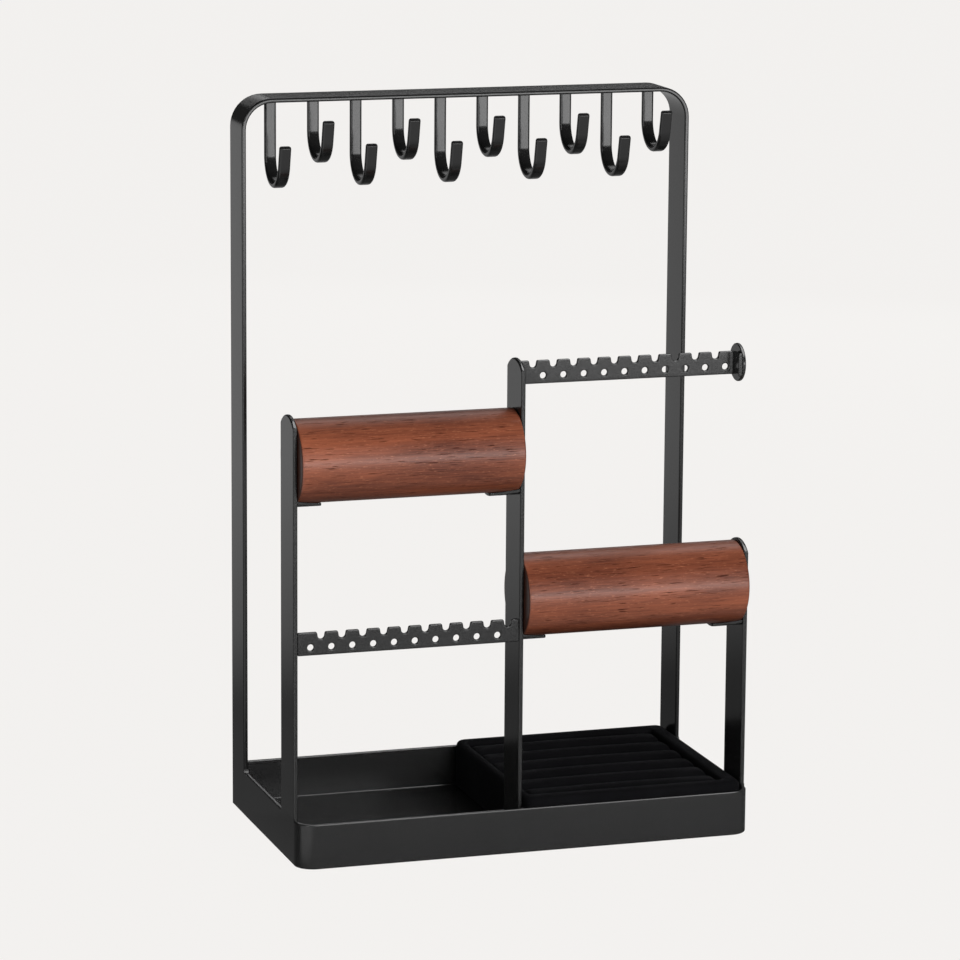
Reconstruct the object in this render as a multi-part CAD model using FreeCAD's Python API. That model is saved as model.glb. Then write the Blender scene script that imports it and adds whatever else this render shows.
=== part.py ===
"""Jewellery stand in millimetres: +Z up, front towards -Y, origin under the centre of the base.

A black sheet-steel tray carries an upright frame with J-hooks, three flat posts, two turned
wooden bars on tongues, two pierced earring rails and a lift-out velvet ring tray.
"""
import FreeCAD, Part
import os
from math import cos, radians, sin, sqrt

# Overall
stand_width = 225.0
stand_depth = 122.5
frame_height = 349.2        # tray underside to the top of the hanging frame
foot_height = 1.2

# Tray
tray_height = 21.4
sheet = 2.2                 # walls, side plates and hanging frame
floor_sheet = 1.6
front_corner_radius = 9.3
corner_flat = 0.25          # straight bit between the front corner and the side plate
floor_bend = 0.5            # inner radius where the floor turns up into the front and back walls

# Hanging frame
strip_width = 22.5
frame_corner_radius = 15.0

# Posts
post_width = 22.5
post_arch_radius = 15.0
left_post_crest = 2.2       # post top above the wooden bar
right_post_crest = 1.2
post_foot_fillet = 1.0
leg_foot_fillet = 1.5
centre_sheet = 2.2
centre_offset = -1.2        # centre post from the middle of the stand
centre_post_crest = 1.6     # post top above the upper earring rail
tenon_width = 6.0
tenon_pitch = 12.0
slot_clearance = 0.1

# Wooden bars
bar_diameter = 39.4
bar_edge_radius = 1.0
upper_bar_height = 190.4    # axis above the tray underside
lower_bar_height = 120.4

# Curved tongues under the bars, and their wood screws
tongue_length = 13.3
tongue_root_width = 21.0
tongue_tip_width = 11.0
tongue_corner_radius = 2.0
tongue_sheet = 1.5
tongue_gap = 0.05           # paint and fit between tongue and bar
screw_reach = 7.0           # screw axis from the post
screw_diameter = 3.0
screw_length = 12.0
screw_point = 3.0
screw_head_diameter = 5.6
screw_head_height = 1.3     # countersunk flush in the tongue
screw_clearance = 0.15
pilot_clearance = 0.05

# Earring rails
rail_height = 11.1
rail_sheet = 2.0
rail_inset = 0.3            # lower rail behind the front edges of the posts
rail_pitch = 10.12
rail_hole_diameter = 3.1
rail_hole_height = 3.8
notch_width = 4.0
notch_depth = 3.4
notch_flare = 0.35
rail_end_margin = 2.0
lower_rail_top = 111.3
lower_rail_lead = 6.3
upper_rail_top = 232.3
upper_rail_lead = 6.8
rail_bend_radius = 1.5
flange_reach = 9.0
disc_diameter = 18.2
disc_sheet = 1.8

# Hooks
hook_count = 10
hook_row_inset = 2.2        # outermost hooks, inside the point where the frame's corners start
hook_width = 5.8
hook_sheet = 2.8
hook_inner_radius = 11.4
long_drop = 40.3            # frame underside to the bottom of the hook
short_drop = 28.9
hook_tip_rise = 7.0         # tip above the centre of the bend
hook_lean = 13.0            # degrees, outwards

# Ring tray
insert_clearance = 0.5
insert_height = 23.9
insert_border = 8.0         # front, right and back
insert_left_border = 3.8
insert_board = 2.0
insert_edge_radius = 3.0
insert_corner_radius = 4.0
roll_count = 6
roll_gap = 0.5
roll_sink = 0.7             # top of the rolls below the border
roll_edge_radius = 4.5
roll_end_clearance = 0.3

# Feet
foot_diameter = 10.0
foot_inset = 14.0

# Places worked out from the sizes above
half_width = stand_width / 2
half_depth = stand_depth / 2
inner_x = half_width - sheet
inner_y = half_depth - sheet
tray_bottom = foot_height
floor_top = tray_bottom + floor_sheet
rim = tray_bottom + tray_height
frame_top = tray_bottom + frame_height
frame_underside = frame_top - sheet
leg_front = half_depth - strip_width
post_front = -half_depth + front_corner_radius + corner_flat
post_back = post_front + post_width
post_axis = (post_front + post_back) / 2
centre_left = centre_offset - centre_sheet / 2
centre_right = centre_offset + centre_sheet / 2
hook_reach = half_width - frame_corner_radius - hook_row_inset
bar_radius = bar_diameter / 2
upper_bar_z = tray_bottom + upper_bar_height
lower_bar_z = tray_bottom + lower_bar_height


def vec(x, y, z):
    return FreeCAD.Vector(x, y, z)


def outline(start, *steps):
    """Closed face from a start point and steps: a point for a straight run, (via, end) for an arc."""
    here = start
    edges = []
    for step in steps + (start,):
        if isinstance(step, tuple):
            edges.append(Part.Arc(here, step[0], step[1]).toShape())
            here = step[1]
        elif here.distanceToPoint(step) > 1e-6:
            edges.append(Part.LineSegment(here, step).toShape())
            here = step
    return Part.Face(Part.Wire(edges))


def block(x, y, z):
    """Box between three (low, high) pairs."""
    size = (x[1] - x[0], y[1] - y[0], z[1] - z[0])
    return Part.makeBox(*size, vec(x[0], y[0], z[0]))


def upright(radius, height, x, y, z):
    return Part.makeCylinder(radius, height, vec(x, y, z), vec(0, 0, 1))


def mirrored(shape):
    """The same piece on the other side of the stand."""
    return shape.mirror(vec(0, 0, 0), vec(1, 0, 0))


def corner_via(centre_a, centre_b, radius, sign_a, sign_b):
    """Middle of a quarter arc about a centre, as a pair of plane coordinates."""
    reach = radius / sqrt(2)
    return centre_a + sign_a * reach, centre_b + sign_b * reach


# Tray

def footprint(inset, z):
    """Tray outline with rounded front corners, drawn in by an inset, back edge left at the wall."""
    x = half_width - inset
    front = -half_depth + inset
    radius = front_corner_radius - inset
    turn_x, turn_y = x - radius, front + radius
    via_x, via_y = corner_via(turn_x, turn_y, radius, 1, -1)
    return outline(
        vec(-turn_x, front, z), vec(turn_x, front, z),
        (vec(via_x, via_y, z), vec(x, turn_y, z)),
        vec(x, half_depth, z), vec(-x, half_depth, z), vec(-x, turn_y, z),
        (vec(-via_x, via_y, z), vec(-turn_x, front, z)))


def bend_fillet(wall_y, side):
    """Rounded inner corner along the foot of the front or back wall."""
    away = wall_y + side * floor_bend
    via_y, via_z = corner_via(away, floor_top + floor_bend, floor_bend, -side, -1)
    x = inner_x - (front_corner_radius if side > 0 else 0)
    profile = outline(
        vec(-x, wall_y, floor_top), vec(-x, away, floor_top),
        (vec(-x, via_y, via_z), vec(-x, wall_y, floor_top + floor_bend)))
    return profile.extrude(vec(2 * x, 0, 0))


def tenon_slots(clearance, bottom, top):
    """Two upright blocks through the floor: the post's tenons, or with clearance their slots."""
    reach = tenon_width / 2 + clearance
    slots = [block((centre_left - clearance, centre_right + clearance),
                   (post_axis + side * tenon_pitch / 2 - reach, post_axis + side * tenon_pitch / 2 + reach),
                   (bottom, top))
             for side in (-1, 1)]
    return slots[0].fuse(slots[1])


def make_tray_pan():
    shell = footprint(0, tray_bottom).extrude(vec(0, 0, tray_height))
    hollow = footprint(sheet, floor_top).extrude(vec(0, 0, tray_height))
    front = block((-half_width, half_width), (-half_depth, post_front), (tray_bottom, rim))
    front_wall = shell.cut(hollow).common(front)
    floor = footprint(sheet, tray_bottom).extrude(vec(0, 0, floor_sheet))
    floor = floor.common(block((-inner_x, inner_x), (-half_depth, inner_y), (tray_bottom, floor_top)))
    back_wall = block((-inner_x, inner_x), (inner_y, half_depth), (tray_bottom, rim))
    pan = front_wall.fuse([floor, back_wall, bend_fillet(-inner_y, 1), bend_fillet(inner_y, -1)])
    return pan.removeSplitter().cut(tenon_slots(slot_clearance, tray_bottom - 1, floor_top + 1))


def make_side_plate(bar_z, crest):
    """Left side wall and post, cut from one flat sheet; the post stands at the front end."""
    x = -half_width
    top = bar_z + bar_radius + crest
    shoulder = top - arch_rise()
    foot_y = post_back + post_foot_fillet
    fillet_y, fillet_z = corner_via(foot_y, rim + post_foot_fillet, post_foot_fillet, -1, -1)
    leg_y = leg_front - leg_foot_fillet
    leg_via_y, leg_via_z = corner_via(leg_y, rim + leg_foot_fillet, leg_foot_fillet, 1, -1)
    face = outline(
        vec(x, post_front, tray_bottom), vec(x, leg_front, tray_bottom),
        vec(x, leg_front, rim + leg_foot_fillet),
        (vec(x, leg_via_y, leg_via_z), vec(x, leg_y, rim)),
        vec(x, foot_y, rim),
        (vec(x, fillet_y, fillet_z), vec(x, post_back, rim + post_foot_fillet)),
        vec(x, post_back, shoulder),
        (vec(x, post_axis, top), vec(x, post_front, shoulder)))
    return face.extrude(vec(sheet, 0, 0))


def arch_rise():
    """Height of a post's rounded top over its shoulders."""
    return post_arch_radius - sqrt(post_arch_radius ** 2 - (post_width / 2) ** 2)


def make_centre_post():
    top = tray_bottom + upper_rail_top + centre_post_crest
    shoulder = top - arch_rise()
    face = outline(
        vec(centre_left, post_front, floor_top), vec(centre_left, post_back, floor_top),
        vec(centre_left, post_back, shoulder),
        (vec(centre_left, post_axis, top), vec(centre_left, post_front, shoulder)))
    return face.extrude(vec(centre_sheet, 0, 0)).fuse(tenon_slots(0, tray_bottom, floor_top))


def make_feet():
    x = half_width - foot_inset
    y = half_depth - foot_inset
    return [upright(foot_diameter / 2, foot_height, sx * x, sy * y, 0) for sx in (-1, 1) for sy in (-1, 1)]


# Hanging frame and hooks

def arch_face(inset):
    """Face of the inverted U, drawn in by an inset, in the plane of the frame's front edge."""
    x = half_width - inset
    top = frame_top - inset
    radius = frame_corner_radius - inset
    via_x, via_z = corner_via(x - radius, top - radius, radius, 1, 1)
    return outline(
        vec(-x, leg_front, tray_bottom), vec(-x, leg_front, top - radius),
        (vec(-via_x, leg_front, via_z), vec(-x + radius, leg_front, top)),
        vec(x - radius, leg_front, top),
        (vec(via_x, leg_front, via_z), vec(x, leg_front, top - radius)),
        vec(x, leg_front, tray_bottom))


def make_back_frame():
    depth = vec(0, strip_width, 0)
    return arch_face(0).extrude(depth).cut(arch_face(sheet).extrude(depth))


def hook_point(radius, angle, bend_y, bend_z):
    """Point on the hook's bend, measured from the stem side down and round to the front."""
    return bend_y + radius * cos(radians(angle)), bend_z - radius * sin(radians(angle))


def make_hook(index):
    """Flat strip bent into a J that hangs from the frame and opens to the front."""
    drop = short_drop if index % 2 else long_drop
    outer_radius = hook_inner_radius + hook_sheet
    x = hook_reach * (2 * index / (hook_count - 1) - 1) - hook_width / 2
    bend_y = leg_front + strip_width / 2 - hook_inner_radius
    bend_z = frame_underside - drop + outer_radius
    last = 180 - hook_lean
    leg = hook_tip_rise / cos(radians(hook_lean)) + outer_radius * sin(radians(last))
    tip = (-leg * sin(radians(hook_lean)), leg * cos(radians(hook_lean)))

    def at(radius, angle, shift=(0, 0)):
        y, z = hook_point(radius, angle, bend_y, bend_z)
        return vec(x, y + shift[0], z + shift[1])

    face = outline(
        vec(x, bend_y + outer_radius, frame_underside), at(outer_radius, 0),
        (at(outer_radius, last / 2), at(outer_radius, last)),
        at(outer_radius, last, tip), at(hook_inner_radius, last, tip), at(hook_inner_radius, last),
        (at(hook_inner_radius, last / 2), at(hook_inner_radius, 0)),
        vec(x, bend_y + hook_inner_radius, frame_underside))
    return face.extrude(vec(hook_width, 0, 0))


# Wooden bars, tongues and screws

def screw_axes(low_x, high_x):
    return low_x + screw_reach, high_x - screw_reach


def make_bar(low_x, high_x, z):
    """Turned bar between two posts, with pilot bores for the wood screws in its underside."""
    bar = Part.makeCylinder(bar_radius, high_x - low_x, vec(low_x, post_axis, z), vec(1, 0, 0))
    rims = [edge for edge in bar.Edges if len(edge.Vertexes) == 1]
    bar = bar.makeFillet(bar_edge_radius, rims)
    bores = [upright(screw_diameter / 2 + pilot_clearance, screw_length + bar_edge_radius,
                     x, post_axis, z - bar_radius - bar_edge_radius)
             for x in screw_axes(low_x, high_x)]
    return bar.cut(bores)


def tongue_plan(post_x, side, z):
    """Tongue seen from above: full width at the post, narrowing to a blunt rounded tip."""
    root = tongue_root_width / 2
    tip = tongue_tip_width / 2
    corner = tongue_corner_radius
    end_x = post_x + side * tongue_length
    turn_x = end_x - side * corner
    via_x, via_y = corner_via(turn_x, tip - corner, corner, side, 1)
    return outline(
        vec(post_x, post_axis - root, z), vec(turn_x, post_axis - tip, z),
        (vec(via_x, post_axis - via_y, z), vec(end_x, post_axis - tip + corner, z)),
        vec(end_x, post_axis + tip - corner, z),
        (vec(via_x, post_axis + via_y, z), vec(turn_x, post_axis + tip, z)),
        vec(post_x, post_axis + root, z))


def make_tongue(post_x, side, bar_z):
    """Curved tongue welded to a post, which cradles one end of a bar from below."""
    inner = bar_radius + tongue_gap
    start = vec(min(post_x, post_x + side * tongue_length), post_axis, bar_z)
    outer_round = Part.makeCylinder(inner + tongue_sheet, tongue_length, start, vec(1, 0, 0))
    inner_round = Part.makeCylinder(inner, tongue_length, start, vec(1, 0, 0))
    prism = tongue_plan(post_x, side, bar_z - bar_diameter).extrude(vec(0, 0, bar_diameter))
    seat = countersunk(post_x + side * screw_reach, bar_z, screw_clearance)
    return outer_round.cut(inner_round).common(prism).cut(seat)


def countersunk(x, bar_z, clearance):
    """Head and straight shank of a wood screw under a bar, or with clearance the room for them."""
    foot = bar_z - bar_radius - tongue_gap - tongue_sheet
    neck_radius = screw_diameter / 2 + clearance
    shank = upright(neck_radius, screw_length - screw_point, x, post_axis, foot)
    head_radius = screw_head_diameter / 2 + clearance
    head = Part.makeCone(head_radius, neck_radius, screw_head_height, vec(x, post_axis, foot))
    return shank.fuse(head)


def make_screw(x, bar_z):
    """Wood screw driven upwards through a tongue into a bar."""
    body = countersunk(x, bar_z, 0)
    point = Part.makeCone(screw_diameter / 2, 0, screw_point, vec(x, post_axis, body.BoundBox.ZMax))
    return body.fuse(point)


# Earring rails

def notch_cutter(x, front, top):
    """U-shaped notch, a little wider at its mouth."""
    half = notch_width / 2
    low = half - notch_flare
    bottom = top - notch_depth
    face = outline(
        vec(x - half, front - 1, top + 1), vec(x - half, front - 1, top),
        vec(x - low, front - 1, bottom + low),
        (vec(x, front - 1, bottom), vec(x + low, front - 1, bottom + low)),
        vec(x + half, front - 1, top), vec(x + half, front - 1, top + 1))
    return face.extrude(vec(0, rail_sheet + 2, 0))


def hole_cutter(x, front, top):
    centre = vec(x, front - 1, top - rail_height + rail_hole_height)
    return Part.makeCylinder(rail_hole_diameter / 2, rail_sheet + 2, centre, vec(0, 1, 0))


def pierced(rail, cutters, first_x, last_x, front, top):
    """Rail with its two cutters taking turns at half a pitch."""
    tools = []
    x = first_x
    while x <= last_x:
        tools.append(cutters[len(tools) % 2](x, front, top))
        x = x + rail_pitch / 2
    return rail.cut(tools)


def make_lower_rail():
    """Flat rail between the left plate and the centre post."""
    low_x, high_x = -inner_x, centre_left
    top = tray_bottom + lower_rail_top
    front = post_front + rail_inset
    rail = block((low_x, high_x), (front, front + rail_sheet), (top - rail_height, top))
    first_x = low_x + lower_rail_lead
    return pierced(rail, (hole_cutter, notch_cutter), first_x, high_x - rail_end_margin, front, top)


def make_upper_rail():
    """Rail held by the centre post; its free end is bent to the front to carry the end disc."""
    top = tray_bottom + upper_rail_top
    bottom = top - rail_height
    front = post_axis - rail_sheet / 2
    back = front + rail_sheet
    flange_x = inner_x - disc_sheet
    outer_radius = rail_bend_radius + rail_sheet
    outer_via = corner_via(flange_x - outer_radius, back - outer_radius, outer_radius, 1, 1)
    inner_via = corner_via(flange_x - outer_radius, back - outer_radius, rail_bend_radius, 1, 1)
    face = outline(
        vec(centre_right, front, bottom), vec(flange_x - outer_radius, front, bottom),
        (vec(*inner_via, bottom), vec(flange_x - rail_sheet, back - outer_radius, bottom)),
        vec(flange_x - rail_sheet, post_axis - flange_reach, bottom),
        vec(flange_x, post_axis - flange_reach, bottom), vec(flange_x, back - outer_radius, bottom),
        (vec(*outer_via, bottom), vec(flange_x - outer_radius, back, bottom)),
        vec(centre_right, back, bottom))
    rail = face.extrude(vec(0, 0, rail_height))
    first_x = centre_right + upper_rail_lead
    last_x = flange_x - outer_radius - rail_end_margin
    return pierced(rail, (notch_cutter, hole_cutter), first_x, last_x, front, top)


def make_end_disc():
    z = tray_bottom + upper_rail_top - rail_height / 2
    centre = vec(inner_x - disc_sheet, post_axis, z)
    return Part.makeCylinder(disc_diameter / 2, disc_sheet, centre, vec(1, 0, 0))


# Ring tray

case_x = (centre_right + insert_clearance, inner_x - insert_clearance)
case_y = (-inner_y + floor_bend + insert_clearance, inner_y - floor_bend - insert_clearance)
case_z = (floor_top, floor_top + insert_height)
bed_x = (case_x[0] + insert_left_border, case_x[1] - insert_border)
bed_y = (case_y[0] + insert_border, case_y[1] - insert_border)
bed_z = (case_z[0] + insert_board, case_z[1] - roll_sink)


def make_ring_case():
    """Board case under velvet: a rounded border round a bed for the rolls."""
    case = block(case_x, case_y, case_z)
    for corner_x, corner_y in [(x, y) for x in case_x for y in case_y]:
        by_tray_corner = (corner_x, corner_y) == (case_x[1], case_y[0])
        radius = front_corner_radius - sheet if by_tray_corner else insert_corner_radius
        bottom, top = (vec(corner_x, corner_y, z) for z in case_z)
        line = Part.LineSegment(bottom, top).toShape()
        upright_edges = [edge for edge in case.Edges if edge.BoundBox.ZLength > insert_height / 2]
        case = case.makeFillet(radius, [edge for edge in upright_edges if edge.distToShape(line)[0] < 1e-6])
    rim_edges = [edge for edge in case.Edges if edge.BoundBox.ZMin > case_z[1] - 1e-3]
    case = case.makeFillet(insert_edge_radius, rim_edges)
    return case.cut(block(bed_x, bed_y, (bed_z[0], case_z[1] + 1)))


def make_roll(index):
    """Velvet roll along X; a ring is pushed between two rolls."""
    pitch = (bed_y[1] - bed_y[0]) / roll_count
    low_y = bed_y[0] + index * pitch + roll_gap / 2
    roll = block((bed_x[0] + roll_end_clearance, bed_x[1] - roll_end_clearance),
                 (low_y, low_y + pitch - roll_gap), bed_z)
    shoulders = [edge for edge in roll.Edges
                 if edge.BoundBox.ZMin > bed_z[1] - 1e-3 and edge.BoundBox.XLength > pitch]
    return roll.makeFillet(roll_edge_radius, shoulders)


# Assembly

def build():
    left_inner, right_inner = -inner_x, inner_x
    bars = {
        "upper": (left_inner, centre_left, upper_bar_z),
        "lower": (centre_right, right_inner, lower_bar_z),
    }
    nodes = {
        "tray_pan": make_tray_pan(),
        "left_side_plate": make_side_plate(upper_bar_z, left_post_crest),
        "right_side_plate": mirrored(make_side_plate(lower_bar_z, right_post_crest)),
        "centre_post": make_centre_post(),
        "hanging_frame": make_back_frame(),
        "lower_earring_rail": make_lower_rail(),
        "upper_earring_rail": make_upper_rail(),
        "rail_end_disc": make_end_disc(),
        "ring_tray_case": make_ring_case(),
        "rubber_feet": Part.makeCompound(make_feet()),
    }
    screws = []
    for name, (low_x, high_x, z) in bars.items():
        nodes[name + "_wooden_bar"] = make_bar(low_x, high_x, z)
        nodes[name + "_bar_left_tongue"] = make_tongue(low_x, 1, z)
        nodes[name + "_bar_right_tongue"] = make_tongue(high_x, -1, z)
        screws += [make_screw(x, z) for x in screw_axes(low_x, high_x)]
    nodes["bar_wood_screws"] = Part.makeCompound(screws)
    for index in range(hook_count):
        nodes["hook_%02d" % (index + 1)] = make_hook(index)
    for index in range(roll_count):
        nodes["ring_roll_%d" % (index + 1)] = make_roll(index)
    return nodes


os.makedirs("parts", exist_ok=True)
for node, shape in build().items():
    shape.exportStep("parts/" + node + ".step")
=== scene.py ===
"""Jewellery stand: black sheet steel, two stained wooden bars, J-hooks and a velvet ring tray."""
from math import cos, pi, radians, sin

import bmesh
import bpy
from mathutils import Matrix, Vector


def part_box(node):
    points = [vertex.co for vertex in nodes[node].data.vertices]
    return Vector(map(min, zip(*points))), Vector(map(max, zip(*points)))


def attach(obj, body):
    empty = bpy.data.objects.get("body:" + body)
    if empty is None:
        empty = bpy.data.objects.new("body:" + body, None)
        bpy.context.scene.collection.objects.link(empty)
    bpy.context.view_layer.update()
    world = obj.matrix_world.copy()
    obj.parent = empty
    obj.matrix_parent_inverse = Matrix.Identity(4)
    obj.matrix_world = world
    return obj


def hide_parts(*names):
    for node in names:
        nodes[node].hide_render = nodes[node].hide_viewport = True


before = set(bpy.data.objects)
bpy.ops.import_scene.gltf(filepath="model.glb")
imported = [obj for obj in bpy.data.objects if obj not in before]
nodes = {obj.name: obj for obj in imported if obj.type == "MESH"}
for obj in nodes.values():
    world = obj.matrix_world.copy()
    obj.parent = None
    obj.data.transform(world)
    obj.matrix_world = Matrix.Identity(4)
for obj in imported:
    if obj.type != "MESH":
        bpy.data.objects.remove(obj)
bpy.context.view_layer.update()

BACKGROUND = (0.896, 0.880, 0.863)
FLOOR_GLOW = (0.936, 0.920, 0.903)

# How bright the floor looks in the steel, against metres behind the stand's middle. Set for soft gradients
# on the sheet: it is not how bright the floor is to the camera.
# Painted shade and painted reflection: only in reflections, the floor glows darker close to the stand, standing in
# for the stand's shade, and lighter further off.
FLOOR_SHADE = (
    (-1.2, 0.60), (-0.55, 0.68), (-0.066, 0.27), (-0.060, 0.12), (0.26, 0.10), (0.42, 0.27), (0.90, 0.46),
)
# Painted highlight: how bright a floor patch left of and in front of the tray looks in reflections, to brighten the
# tray's left front corner.
CORNER_PAINTED_HIGHLIGHT = (0.90, 0.90, 0.90)
FLOOR_REACH = 3
HOOKS = [f"hook_{n:02d}" for n in range(1, 11)]
ROLLS = [f"ring_roll_{n}" for n in range(1, 7)]
TONGUES = [f"{bar}_bar_{side}_tongue" for bar in ("upper", "lower") for side in ("left", "right")]
BARS = ("upper_wooden_bar", "lower_wooden_bar")
BUTT_JOINTS = ("tray_pan", "left_side_plate", "right_side_plate", "hanging_frame")

# Metres
EDGE_BREAK = {
    "tray_pan": 0.0006,
    "hanging_frame": 0.0008,
    "left_side_plate": 0.0007,
    "right_side_plate": 0.0007,
    "centre_post": 0.0009,
    "lower_earring_rail": 0.0007,
    "upper_earring_rail": 0.0006,
    "rail_end_disc": 0.0006,
    **{hook: 0.0012 for hook in HOOKS},
    **{tongue: 0.0004 for tongue in TONGUES},
}
SHEET = 0.0022
TRAY_WALL = 0.01
PLATE_FILLET = 0.0015
SHORTEST_EDGE = 0.0001
MERGE_DISTANCE = 2e-6
LEVEL_TOLERANCE = 1e-6
SIDE_TOLERANCE = 1e-5
FILLET_SLACK = 1e-4
BAR_END_RADIUS = 0.001
FOOT_RADIUS = 0.005
FOOT_EDGE_RADIUS = 0.0003
VELVET_GRID = 0.001
ROLL_GRID = 0.0016
ROLL_SWELL = 0.0012
ROLL_SHRINK = 0.0006
ROLL_CROWN = 0.0003
SCREW_EDGE_RADIUS = 0.0003
FILL_PRESSURE = 4
FILL_STEPS = 20


class Level:
    """A number that changes over a surface. Sums and products on it add their Math nodes."""

    def __init__(self, finish, socket):
        self.finish = finish
        self.socket = socket

    def __add__(self, other):
        return self.finish.maths("ADD", self, other)

    def __sub__(self, other):
        return self.finish.maths("SUBTRACT", self, other)

    def __rsub__(self, other):
        return self.finish.maths("SUBTRACT", other, self)

    def __mul__(self, other):
        return self.finish.maths("MULTIPLY", self, other)

    def __truediv__(self, other):
        return self.finish.maths("DIVIDE", self, other)

    def __pow__(self, other):
        return self.finish.maths("POWER", self, other)

    __radd__ = __add__
    __rmul__ = __mul__


class Finish:
    """A surface finish: a material, its nodes and its shader."""

    def __init__(self, name, **constants):
        self.material = bpy.data.materials.new(name)
        self.material.use_nodes = True
        self.tree = self.material.node_tree
        self.shader = self.tree.nodes["Principled BSDF"]
        for words, value in constants.items():
            self.feed(self.shader.inputs[words.replace("_", " ").title().replace("Ior", "IOR")], value)
        self.place = self.node("ShaderNodeTexCoord", output="Object")
        self.facing = self.node("ShaderNodeTexCoord", output="Normal")

    def feed(self, socket, value):
        """Puts a link or a constant in a socket."""
        if isinstance(value, Level):
            self.tree.links.new(value.socket, socket)
        elif socket.type == "RGBA" and len(value) == 3:
            socket.default_value = (*value, 1)
        else:
            socket.default_value = value

    def node(self, kind, settings=None, sockets=None, output=0):
        """A node with its settings, then its sockets' values or links. Returns one output."""
        node = self.tree.nodes.new(kind)
        for name, value in (settings or {}).items():
            if name == "stops":
                self.set_stops(node.color_ramp.elements, value)
            else:
                setattr(node, name, value)
        for key, value in (sockets or {}).items():
            self.feed(node.inputs[key], value)
        return Level(self, node.outputs[output])

    @staticmethod
    def set_stops(elements, stops):
        while len(elements) < len(stops):
            elements.new(1)
        for element, (position, colour) in zip(elements, stops):
            element.position = position
            element.color = (*colour, 1)

    def maths(self, operation, *values):
        return self.node("ShaderNodeMath", {"operation": operation}, dict(enumerate(values)))

    def split(self, value, part):
        return self.node("ShaderNodeSeparateXYZ", None, {"Vector": value}, part)

    def clamp(self, value):
        return self.node("ShaderNodeClamp", None, {"Value": value})

    def stretched(self, x, y, z):
        """Places on the surface, scaled along each axis."""
        return self.node("ShaderNodeMapping", None, {"Vector": self.place, "Scale": (x, y, z)})

    def noise(self, scale, detail=2.0, roughness=0.5, places=None):
        sockets = {"Vector": places or self.place, "Scale": scale, "Detail": detail, "Roughness": roughness}
        return self.node("ShaderNodeTexNoise", None, sockets)

    def mix(self, share, first, second):
        """Colours mixed from first to second."""
        return self.node("ShaderNodeMix", {"data_type": "RGBA"}, {0: share, 6: first, 7: second}, 2)

    def bump(self, height, depth, strength=1.0):
        """Height from 0 to 1 stands depth metres above the surface."""
        sockets = {"Height": height, "Distance": depth, "Strength": strength}
        self.feed(self.shader.inputs["Normal"], self.node("ShaderNodeBump", None, sockets))

    def colour(self, value):
        self.feed(self.shader.inputs["Base Color"], value)

    def roughness(self, value):
        self.feed(self.shader.inputs["Roughness"], value)


def powder_coat():
    """Satin black powder coat with a faint orange peel."""
    coat = Finish("black_powder_coat", specular_ior_level=0.5)
    peel = coat.noise(1500, 3, 0.6)
    cloud = coat.noise(35, 2)
    coat.colour(coat.mix(coat.clamp(peel * 0.6 + cloud * 0.4), (0.006, 0.006, 0.006), (0.013, 0.013, 0.013)))
    coat.roughness(0.12 + peel * 0.07 + cloud * 0.05)
    coat.bump(peel, 0.00003, 0.6)
    return coat.material


def stained_wood():
    """Close-grained hardwood with a reddish stain and a satin lacquer, its pores along X."""
    wood = Finish("stained_wood", specular_ior_level=0.2, coat_roughness=0.3, coat_ior=1.5)
    fibres = wood.noise(1, 3, 0.6, wood.stretched(60, 1700, 1700))
    streaks = wood.noise(1, 3, 0.55, wood.stretched(7, 210, 210))
    mottle = wood.noise(1, 2, 0.5, wood.stretched(13, 36, 36))
    pores = wood.clamp((wood.noise(1, 1, 0.4, wood.stretched(120, 2100, 2100)) - 0.655) * 16)
    flecks = wood.clamp((wood.noise(1, 2, 0.5, wood.stretched(420, 2300, 2300)) - 0.6) * 8)
    tone = wood.clamp(fibres * 1.1 + streaks * 0.45 + mottle * 1.6 - 1.09)
    stain = wood.mix(tone, (0.060, 0.014, 0.008), (0.310, 0.090, 0.043))
    speckled = wood.mix(flecks * 0.45, stain, (0.46, 0.18, 0.095))
    grained = wood.mix(pores * 0.8, speckled, (0.030, 0.008, 0.005))
    along = wood.maths("ABSOLUTE", wood.split(wood.facing, "X"))
    end_grain = wood.clamp((along - 0.55) * 4)
    wood.colour(wood.mix(end_grain * 0.8, grained, (0.020, 0.006, 0.004)))
    wood.roughness(0.38 + pores * 0.3 + streaks * 0.08)
    wood.feed(wood.shader.inputs["Coat Weight"], 0.7 - pores * 0.7)
    wood.bump(fibres * 0.4 - pores, 0.00006, 0.6)
    return wood.material


def velvet():
    """Black velvet: short pile with brushed patches, bright only at a grazing angle."""
    pile = Finish(
        "black_velvet",
        specular_ior_level=0.05,
        sheen_weight=0.04,
        sheen_roughness=0.18,
        sheen_tint=(0.55, 0.56, 0.60),
    )
    tufts = pile.noise(2600, 2, 0.7)
    brushed = pile.noise(70, 3, 0.55)
    tone = pile.clamp(tufts * 0.7 + brushed * 0.6 - 0.15)
    pile.colour(pile.mix(tone, (0.0020, 0.0020, 0.0023), (0.0085, 0.0085, 0.0096)))
    pile.roughness(0.86 + brushed * 0.1)
    pile.bump(tufts + brushed * 2.5, 0.0004, 0.8)
    return pile.material


def zinc():
    """Bright zinc plate with fine turning marks."""
    plate = Finish("zinc_screw", base_color=(0.62, 0.63, 0.66), metallic=1.0)
    plate.roughness(0.26 + plate.noise(900, 2) * 0.2)
    plate.bump(plate.noise(2500, 1), 0.00002, 0.5)
    return plate.material


def rubber():
    """Dull black rubber."""
    pad = Finish("foot_rubber", specular_ior_level=0.3)
    grit = pad.noise(1800, 2)
    pad.colour(pad.mix(grit, (0.010, 0.010, 0.010), (0.022, 0.022, 0.022)))
    pad.roughness(0.7 + grit * 0.2)
    pad.bump(grit, 0.00005, 0.6)
    return pad.material


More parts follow.
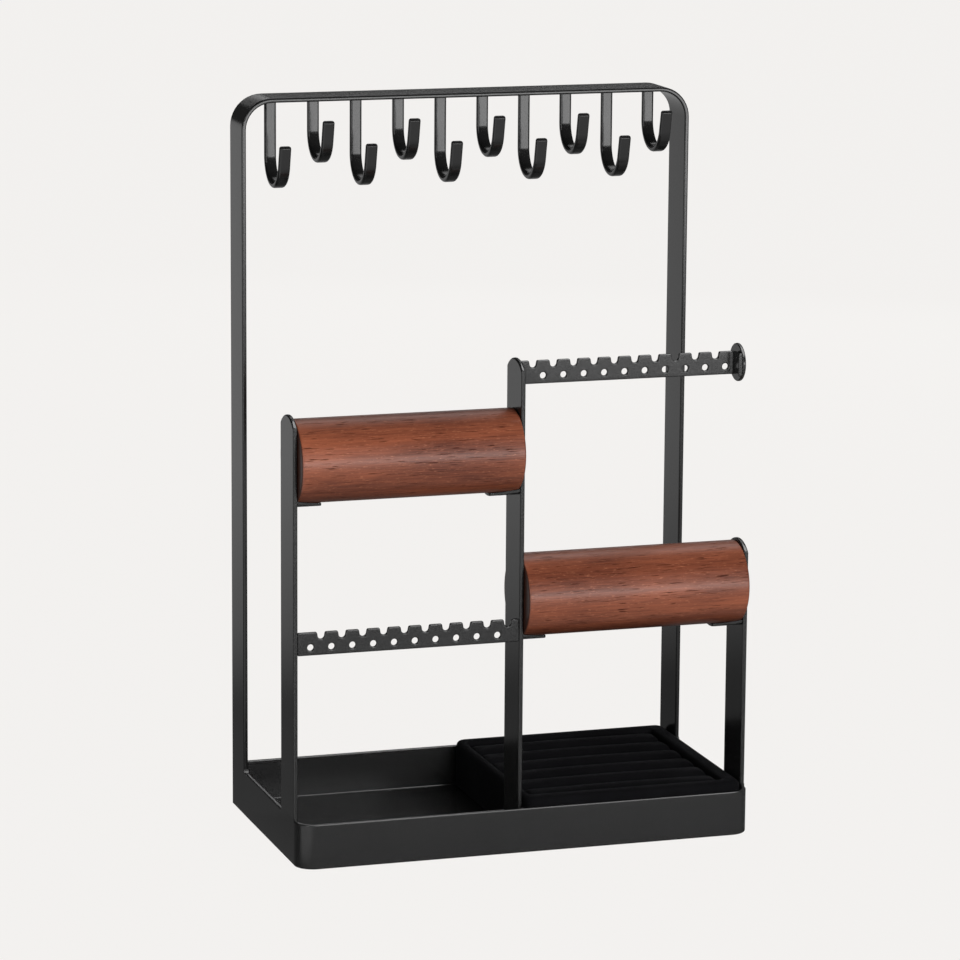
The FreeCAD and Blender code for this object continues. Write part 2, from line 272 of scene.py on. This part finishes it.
def merged(node):
    """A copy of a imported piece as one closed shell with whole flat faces."""
    shell = bmesh.new()
    shell.from_mesh(nodes[node].data)
    bmesh.ops.remove_doubles(shell, verts=shell.verts, dist=MERGE_DISTANCE)
    bmesh.ops.dissolve_limit(shell, angle_limit=radians(0.5), verts=shell.verts, edges=shell.edges)
    return shell


def outer_edges(shell):
    """Sharp edges that stand out, without the tiny ones at the ends of a bend."""
    return [
        e for e in shell.edges
        if e.is_manifold and e.is_convex and e.calc_face_angle() > radians(60) and e.calc_length() > SHORTEST_EDGE
    ]


def cut_across(shell, height):
    """Divides the long upright edges at a height."""
    parts = shell.verts[:] + shell.edges[:] + shell.faces[:]
    bmesh.ops.bisect_plane(shell, geom=parts, dist=LEVEL_TOLERANCE, plane_co=(0, 0, height), plane_no=(0, 0, 1))


def free_edges(shell, node):
    """The outer edges, without those along a butt joint, which close up under the paint."""
    low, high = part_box(node)
    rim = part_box("tray_pan")[1].z
    joint_top = rim if node == "tray_pan" else rim + PLATE_FILLET
    if node in BUTT_JOINTS:
        cut_across(shell, joint_top)
    return [
        e for e in outer_edges(shell)
        if node not in BUTT_JOINTS or not in_joint(e, node, low, high, joint_top)
    ]


def in_joint(edge, node, low, high, joint_top):
    """Whether an edge of the tray, a side plate or the hanging frame lies against its neighbour."""
    def all_ends(test):
        return all(test(v.co) for v in edge.verts)

    if not all_ends(lambda p: p.z < joint_top + LEVEL_TOLERANCE):
        return False
    if node == "tray_pan":
        walls = any(max(v.co.z for v in f.verts) - min(v.co.z for v in f.verts) > TRAY_WALL for f in edge.link_faces)
        is_level = abs(edge.verts[0].co.z - edge.verts[1].co.z) < LEVEL_TOLERANCE
        return not (is_level and walls) or abs(edge.calc_length() - SHEET) < SIDE_TOLERANCE
    if node == "hanging_frame":
        outside = all_ends(lambda p: abs(p.x) > high.x - SIDE_TOLERANCE)
        return not outside or all_ends(lambda p: p.y < low.y + SIDE_TOLERANCE)
    back = high.y - PLATE_FILLET - FILLET_SLACK
    return all_ends(lambda p: p.y < low.y + SIDE_TOLERANCE) or all_ends(lambda p: p.y > back)


def break_edges(shell, width, segments=3, edges=None):
    """Rounds the outer edges, or the given ones."""
    sharp = edges or outer_edges(shell)
    bmesh.ops.bevel(
        shell, geom=sharp, offset=width, offset_type="OFFSET", segments=segments, profile=0.5,
        affect="EDGES", material=-1, clamp_overlap=False,
    )


def made(shell, name, material, slot, body, *stands_for):
    """The finished piece: shaded smooth over flat faces, on its body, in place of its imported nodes."""
    mesh = bpy.data.meshes.new(name)
    shell.to_mesh(mesh)
    shell.free()
    mesh.shade_smooth()
    mesh.set_sharp_from_angle(angle=radians(40))
    mesh.materials.append(material)
    piece = bpy.data.objects.new(name, mesh)
    bpy.context.scene.collection.objects.link(piece)
    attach(piece, body)
    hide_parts(*stands_for)
    return piece


def flatten_shading(piece):
    """Large faces keep their own direction; the rounded edges take up the turn."""
    weighted = piece.modifiers.new("flat_faces", "WEIGHTED_NORMAL")
    weighted.weight = 100
    weighted.keep_sharp = True
    return piece


def steel_piece(node, material):
    """A packed steel piece with its free edges rounded by the coat."""
    shell = merged(node)
    break_edges(shell, EDGE_BREAK[node], edges=free_edges(shell, node))
    return flatten_shading(made(shell, f"coated_{node}", material, "black_powder_coat", "stand", node))


def wooden_bar(node, material):
    """A turned bar along X with its ends eased."""
    low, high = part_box(node)
    radius = (high.z - low.z) / 2
    shell = bmesh.new()
    turn = Matrix.Translation((low + high) / 2) @ Matrix.Rotation(pi / 2, 4, "Y")
    bmesh.ops.create_cone(
        shell, cap_ends=True, segments=160, radius1=radius, radius2=radius, depth=high.x - low.x, matrix=turn
    )
    rims = [e for e in shell.edges if e.calc_face_angle() > radians(80)]
    break_edges(shell, BAR_END_RADIUS, 5, rims)
    return flatten_shading(made(shell, f"turned_{node}", material, "stained_wood", "stand", node))


def remeshed(piece, grid):
    """Gives the piece an even mesh for cloth."""
    remesh = piece.modifiers.new("even_mesh", "REMESH")
    remesh.mode = "VOXEL"
    remesh.voxel_size = grid
    apply_modifiers(piece)
    piece.data.shade_smooth()


def apply_modifiers(piece):
    """Makes the piece's mesh what its modifiers show."""
    shown = piece.evaluated_get(bpy.context.evaluated_depsgraph_get())
    mesh = bpy.data.meshes.new_from_object(shown)
    mesh.name = piece.name
    piece.modifiers.clear()
    piece.data = mesh


def soften(piece, steps):
    """Rounds corners by moving points towards their neighbours."""
    shell = bmesh.new()
    shell.from_mesh(piece.data)
    for _ in range(steps):
        bmesh.ops.smooth_vert(
            shell, verts=shell.verts, factor=0.5, use_axis_x=True, use_axis_y=True, use_axis_z=True
        )
    shell.to_mesh(piece.data)
    shell.free()


def velvet_case(material):
    """The covered box of the ring tray, with soft fabric-wrapped edges."""
    node = "ring_tray_case"
    case = made(merged(node), "covered_ring_tray_case", material, "black_velvet", "ring_tray", node)
    remeshed(case, VELVET_GRID)
    soften(case, 4)
    return case


def swell(pad, limit):
    """Fills the pad with air as cloth, then holds each point near where it began."""
    start = [v.co.copy() for v in pad.data.vertices]
    cloth = pad.modifiers.new("filling", "CLOTH")
    cloth.settings.use_pressure = True
    cloth.settings.uniform_pressure_force = FILL_PRESSURE
    cloth.settings.effector_weights.gravity = 0
    cloth.settings.quality = 5
    for step in range(1, FILL_STEPS + 1):
        bpy.context.scene.frame_set(step)
    apply_modifiers(pad)
    bpy.context.scene.frame_set(1)
    for vertex, home in zip(pad.data.vertices, start):
        move = vertex.co - home
        if move.length > limit:
            vertex.co = home + move * (limit / move.length)


def keep_inside(pad, low, high):
    """Flattens the pad where it meets the bed and its neighbours."""
    for vertex in pad.data.vertices:
        for axis in range(3):
            vertex.co[axis] = min(max(vertex.co[axis], low[axis]), high[axis])


def ring_roll(node, material):
    """A foam roll in velvet, tight in its slot, with a soft crown."""
    low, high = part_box(node)
    middle = (low + high) / 2
    size = high - low
    shell = merged(node)
    squeeze = Vector([1 - 2 * ROLL_SHRINK / s for s in size])
    bmesh.ops.translate(shell, verts=shell.verts, vec=-middle)
    bmesh.ops.scale(shell, verts=shell.verts, vec=squeeze)
    bmesh.ops.translate(shell, verts=shell.verts, vec=middle)
    roll = made(shell, f"covered_{node}", material, "black_velvet", "ring_tray", node)
    remeshed(roll, ROLL_GRID)
    soften(roll, 1)
    swell(roll, ROLL_SWELL)
    keep_inside(roll, low, high + Vector((0, 0, ROLL_CROWN)))
    even = roll.modifiers.new("smooth_cover", "SUBSURF")
    even.levels = even.render_levels = 1
    return roll


def rubber_feet(material):
    """Four round pads with an eased lower rim, one near each corner."""
    low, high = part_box("rubber_feet")
    inset = Vector((FOOT_RADIUS, FOOT_RADIUS, 0))
    low, high = low + inset, high - inset
    shell = bmesh.new()
    for x, y in [(x, y) for x in (low.x, high.x) for y in (low.y, high.y)]:
        bmesh.ops.create_cone(
            shell, cap_ends=True, segments=64, radius1=FOOT_RADIUS, radius2=FOOT_RADIUS,
            depth=high.z - low.z, matrix=Matrix.Translation((x, y, (low.z + high.z) / 2)),
        )
    rims = [e for e in shell.edges if e.calc_face_angle() > radians(80)]
    break_edges(shell, FOOT_EDGE_RADIUS, 3, rims)
    return flatten_shading(made(shell, "pressed_rubber_feet", material, "foot_rubber", "stand", "rubber_feet"))


def wood_screws(material):
    """The countersunk screws under the bars, all in one piece."""
    shell = merged("bar_wood_screws")
    break_edges(shell, SCREW_EDGE_RADIUS, 2)
    return made(shell, "plated_bar_wood_screws", material, "zinc_screw", "stand", "bar_wood_screws")


def softbox(name, centre, aim, width, height, brightness, mirrored=True):
    """A soft rectangular lamp of the given surface brightness."""
    lamp = bpy.data.lights.new(name, "AREA")
    lamp.shape = "RECTANGLE"
    lamp.size = width
    lamp.size_y = height
    lamp.energy = brightness * pi * width * height
    stand = bpy.data.objects.new(name, lamp)
    stand.location = centre
    stand.rotation_euler = (Vector(aim) - Vector(centre)).to_track_quat("-Z", "Y").to_euler()
    stand.visible_camera = False
    stand.visible_glossy = mirrored
    bpy.context.scene.collection.objects.link(stand)
    return stand


def light_only(lamp, pieces):
    """Lets the lamp show on these pieces alone, and only in their gloss."""
    lit = bpy.data.collections.new(f"lit_by_{lamp.name}")
    for piece in pieces:
        lit.objects.link(piece)
    lamp.light_linking.receiver_collection = lit
    lamp.visible_diffuse = False


def pale_floor():
    """A wide pale floor that fades into the backdrop and keeps the stand's shadow."""
    shell = bmesh.new()
    bmesh.ops.create_grid(shell, x_segments=8, y_segments=8, size=30)
    mesh = bpy.data.meshes.new("floor")
    shell.to_mesh(mesh)
    shell.free()
    floor = bpy.data.objects.new("floor", mesh)
    bpy.context.scene.collection.objects.link(floor)
    mesh.materials.append(floor_paint())


def floor_paint():
    """Plain paint to the lamps. In reflections it shows the painted shade of FLOOR_SHADE, and a painted highlight
    patch by the left front corner that brightens the tray's corner.
    """
    paint = Finish("floor_paint", base_color=(0.18, 0.177, 0.174), roughness=0.9, specular_ior_level=0.1)
    depth = paint.split(paint.place, "Y")
    stops = [(behind / FLOOR_REACH + 0.5, (grey,) * 3) for behind, grey in FLOOR_SHADE]
    # Painted shade seen only in reflections, following FLOOR_SHADE along Y.
    shade = paint.node("ShaderNodeValToRGB", {"stops": stops}, {"Fac": depth * (1 / FLOOR_REACH) + 0.5})
    # Painted highlight: a bright floor patch, seen only in reflections, left of and in front of the tray, which
    # lights a band on its left front corner.
    corner_highlight_side = paint.clamp((-0.112 - paint.split(paint.place, "X")) * 32)
    shade = paint.mix(corner_highlight_side * paint.clamp((-0.050 - depth) * 60), shade, CORNER_PAINTED_HIGHLIGHT)
    camera = paint.node("ShaderNodeLightPath", output="Is Camera Ray")
    glossy = paint.node("ShaderNodeLightPath", output="Is Glossy Ray")
    through = paint.node("ShaderNodeLightPath", output="Is Transmission Ray")
    seen = paint.mix(glossy, FLOOR_GLOW, shade)
    glow = paint.node("ShaderNodeEmission", None, {"Color": seen})
    share = paint.clamp(camera * 0.95 + glossy + through)
    both = paint.node("ShaderNodeMixShader", None, {0: share, 1: Level(paint, paint.shader.outputs[0]), 2: glow})
    paint.feed(paint.tree.nodes["Material Output"].inputs["Surface"], both)
    return paint.material


def backdrop(plain, dim):
    """The world: the pale backdrop where it is seen, a dimmer room in reflections, plain soft light elsewhere."""
    world = bpy.data.worlds.new("studio")
    world.use_nodes = True
    bpy.context.scene.world = world
    tree = world.node_tree
    paths = tree.nodes.new("ShaderNodeLightPath")
    shown = tree.nodes["Background"].outputs[0]
    tree.nodes["Background"].inputs["Color"].default_value = (plain, plain, plain, 1)
    for ray, colour in (("Camera", BACKGROUND), ("Transmission", BACKGROUND), ("Glossy", (dim, dim, dim))):
        seen = tree.nodes.new("ShaderNodeBackground")
        seen.inputs["Color"].default_value = (*colour, 1)
        choice = tree.nodes.new("ShaderNodeMixShader")
        tree.links.new(paths.outputs[f"Is {ray} Ray"], choice.inputs[0])
        tree.links.new(shown, choice.inputs[1])
        tree.links.new(seen.outputs[0], choice.inputs[2])
        shown = choice.outputs[0]
    tree.links.new(shown, tree.nodes["World Output"].inputs["Surface"])


def camera(azimuth, elevation, roll, distance, target, lens):
    """A long lens, left of centre and a little above."""
    a, e = radians(azimuth), radians(elevation)
    forward = Vector((sin(a) * cos(e), cos(a) * cos(e), -sin(e)))
    eye = bpy.data.objects.new("camera", bpy.data.cameras.new("camera"))
    eye.data.lens = lens
    eye.data.sensor_width = 36
    eye.data.clip_end = 100
    turn = Matrix.Rotation(-a, 4, "Z") @ Matrix.Rotation(pi / 2 - e, 4, "X") @ Matrix.Rotation(radians(roll), 4, "Z")
    eye.matrix_world = Matrix.Translation(Vector(target) - distance * forward) @ turn
    bpy.context.scene.collection.objects.link(eye)
    bpy.context.scene.camera = eye


camera(17.866, 11.409, 0.42, 2.129785, (-0.005687, 0, 0.169228), 167.08)

coat = powder_coat()
steel = {node: steel_piece(node, coat) for node in EDGE_BREAK}
wood = stained_wood()
for node in BARS:
    wooden_bar(node, wood)
pile = velvet()
velvet_case(pile)
for node in ROLLS:
    ring_roll(node, pile)
wood_screws(zinc())
rubber_feet(rubber())

pale_floor()
backdrop(0.08, 0.045)
softbox("front_strip", (0.38, -1.25, 0.21), (0.08, 0, 0.21), 1.3, 0.26, 5.0)
softbox("key_softbox", (0.40, -1.25, 0.75), (0, 0, 0.2), 0.8, 0.7, 9.5, mirrored=False)
softbox("left_softbox", (-1.05, -0.95, 0.45), (0, 0, 0.35), 0.35, 0.9, 4.5)
softbox("back_softbox", (0.45, 1.0, 1.5), (0, 0, 0.1), 0.9, 0.8, 1.2)
softbox("back_fill", (0.8, 1.4, 0.38), (0, 0, 0.12), 1.2, 0.5, 5.0, mirrored=False)
softbox("rim_softbox", (1.9, 6.0, 1.75), (0, 0, 0.02), 5.0, 0.45, 1.0)
top_softbox = softbox("top_softbox", (0.4, -0.35, 1.4), (0.1, 0, 0), 1.3, 1.5, 6.0)
unlit = ("hook", "hanging_frame")
light_only(top_softbox, [piece for node, piece in steel.items() if not node.startswith(unlit)])
bpy.context.scene.view_settings.view_transform = "Standard"
